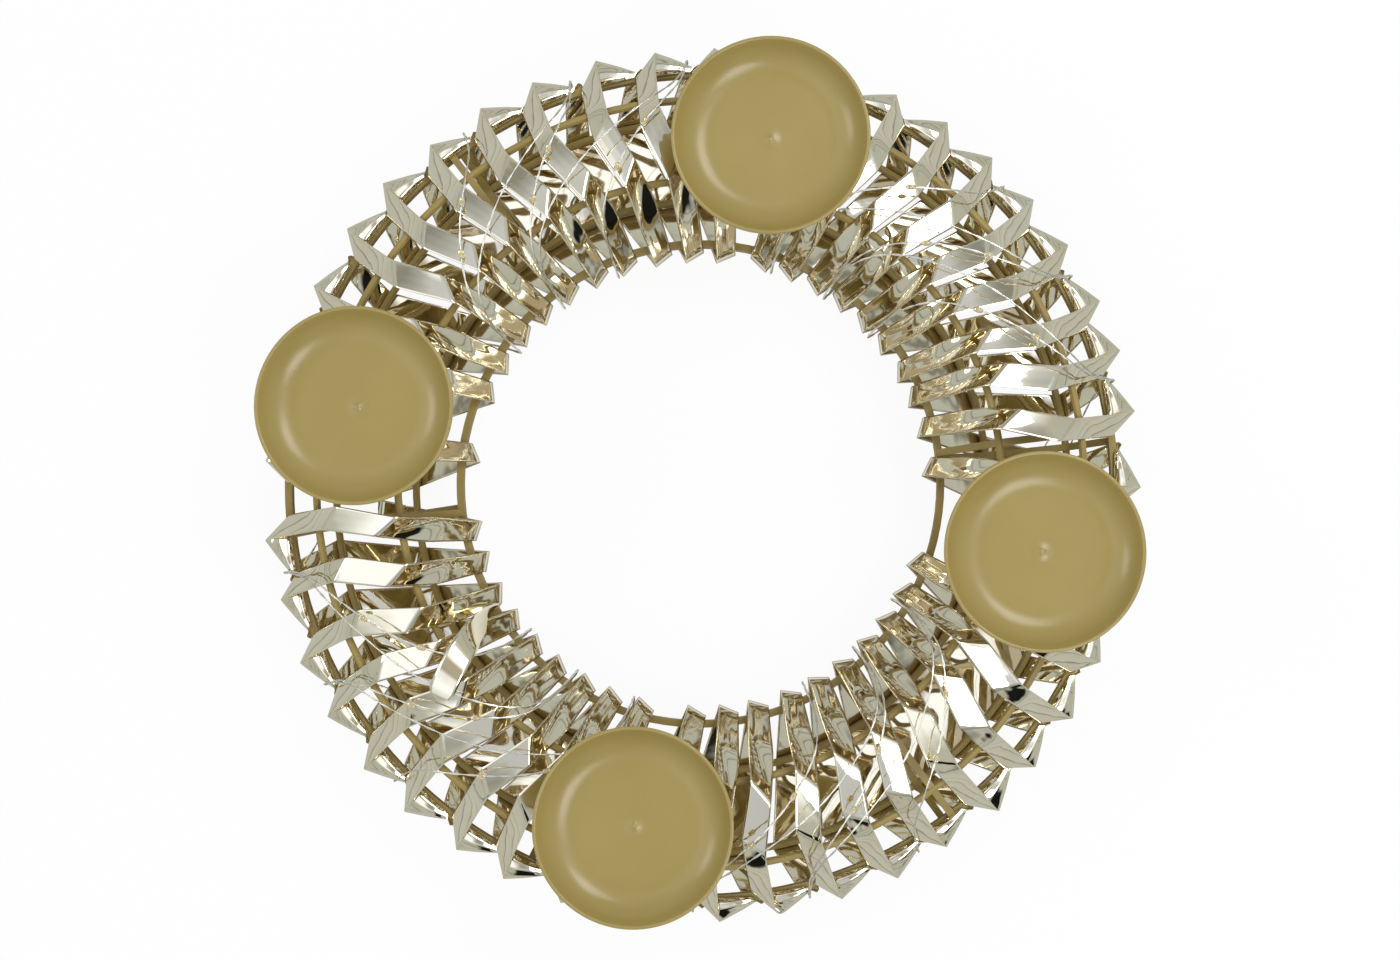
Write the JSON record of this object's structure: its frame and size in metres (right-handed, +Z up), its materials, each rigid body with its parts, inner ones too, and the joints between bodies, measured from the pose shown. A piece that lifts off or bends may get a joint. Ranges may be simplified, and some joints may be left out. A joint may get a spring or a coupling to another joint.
{
  "type": "advent candle holder",
  "caption": "Round table wreath: a plastic cage wound with mirror film strip and a light wire, with dished plates for candles that lift off.",
  "frame": {"origin": "middle of the wreath, on the table that its feet stand on", "axes": "+Z up, +X to the right and +Y away from the viewer of the picture's lower edge"},
  "size_m": [0.3521, 0.3521, 0.0733],
  "materials": {
    "cage_plastic": "satin moulded",
    "plate_plastic": "satin moulded",
    "mirror_film": "metallised plastic film, mirror",
    "wire_metal": "fine lacquered wire",
    "light_resin": "clear cast resin",
    "box_plastic": "fine grain",
    "steel": "plated",
    "board": "lacquered board",
    "switch_plastic": "fine grain"
  },
  "bodies": {
    "frame": {"frame_upper": "cage_plastic", "frame_lower": "cage_plastic", "ribbon_1": "mirror_film", "ribbon_2": "mirror_film", "ribbon_3": "mirror_film", "ribbon_4": "mirror_film", "plate_bracket_1": "cage_plastic", "plate_bracket_2": "cage_plastic", "plate_bracket_3": "cage_plastic", "plate_bracket_4": "cage_plastic", "light_wire": "wire_metal", "led_beads": "light_resin", "battery_box": "box_plastic", "battery_box_cover": "box_plastic", "cover_screws": "steel", "contact_strips": "steel", "circuit_board": "board"},
    "plate_1": {"candle_plate_1": "plate_plastic"},
    "plate_2": {"candle_plate_2": "plate_plastic"},
    "plate_3": {"candle_plate_3": "plate_plastic"},
    "plate_4": {"candle_plate_4": "plate_plastic"},
    "drawer": {"battery_drawer": "box_plastic", "coin_cells": "steel"},
    "switch": {"switch_slider": "switch_plastic"}
  },
  "joints": [
    {"name": "plate_1_lift", "type": "slide", "parent": "frame", "child": "plate_1", "axis": [0, 0, 1], "range_m": [0, 0.03]},
    {"name": "plate_2_lift", "type": "slide", "parent": "frame", "child": "plate_2", "axis": [0, 0, 1], "range_m": [0, 0.03]},
    {"name": "plate_3_lift", "type": "slide", "parent": "frame", "child": "plate_3", "axis": [0, 0, 1], "range_m": [0, 0.03]},
    {"name": "plate_4_lift", "type": "slide", "parent": "frame", "child": "plate_4", "axis": [0, 0, 1], "range_m": [0, 0.03]},
    {"name": "drawer_slide", "type": "slide", "parent": "frame", "child": "drawer", "axis": [0.9781, -0.2079, 0], "range_m": [0, 0.03]},
    {"name": "switch_slide", "type": "slide", "parent": "frame", "child": "switch", "axis": [0.9781, -0.2079, 0], "range_m": [0, 0.0035]}
  ]
}
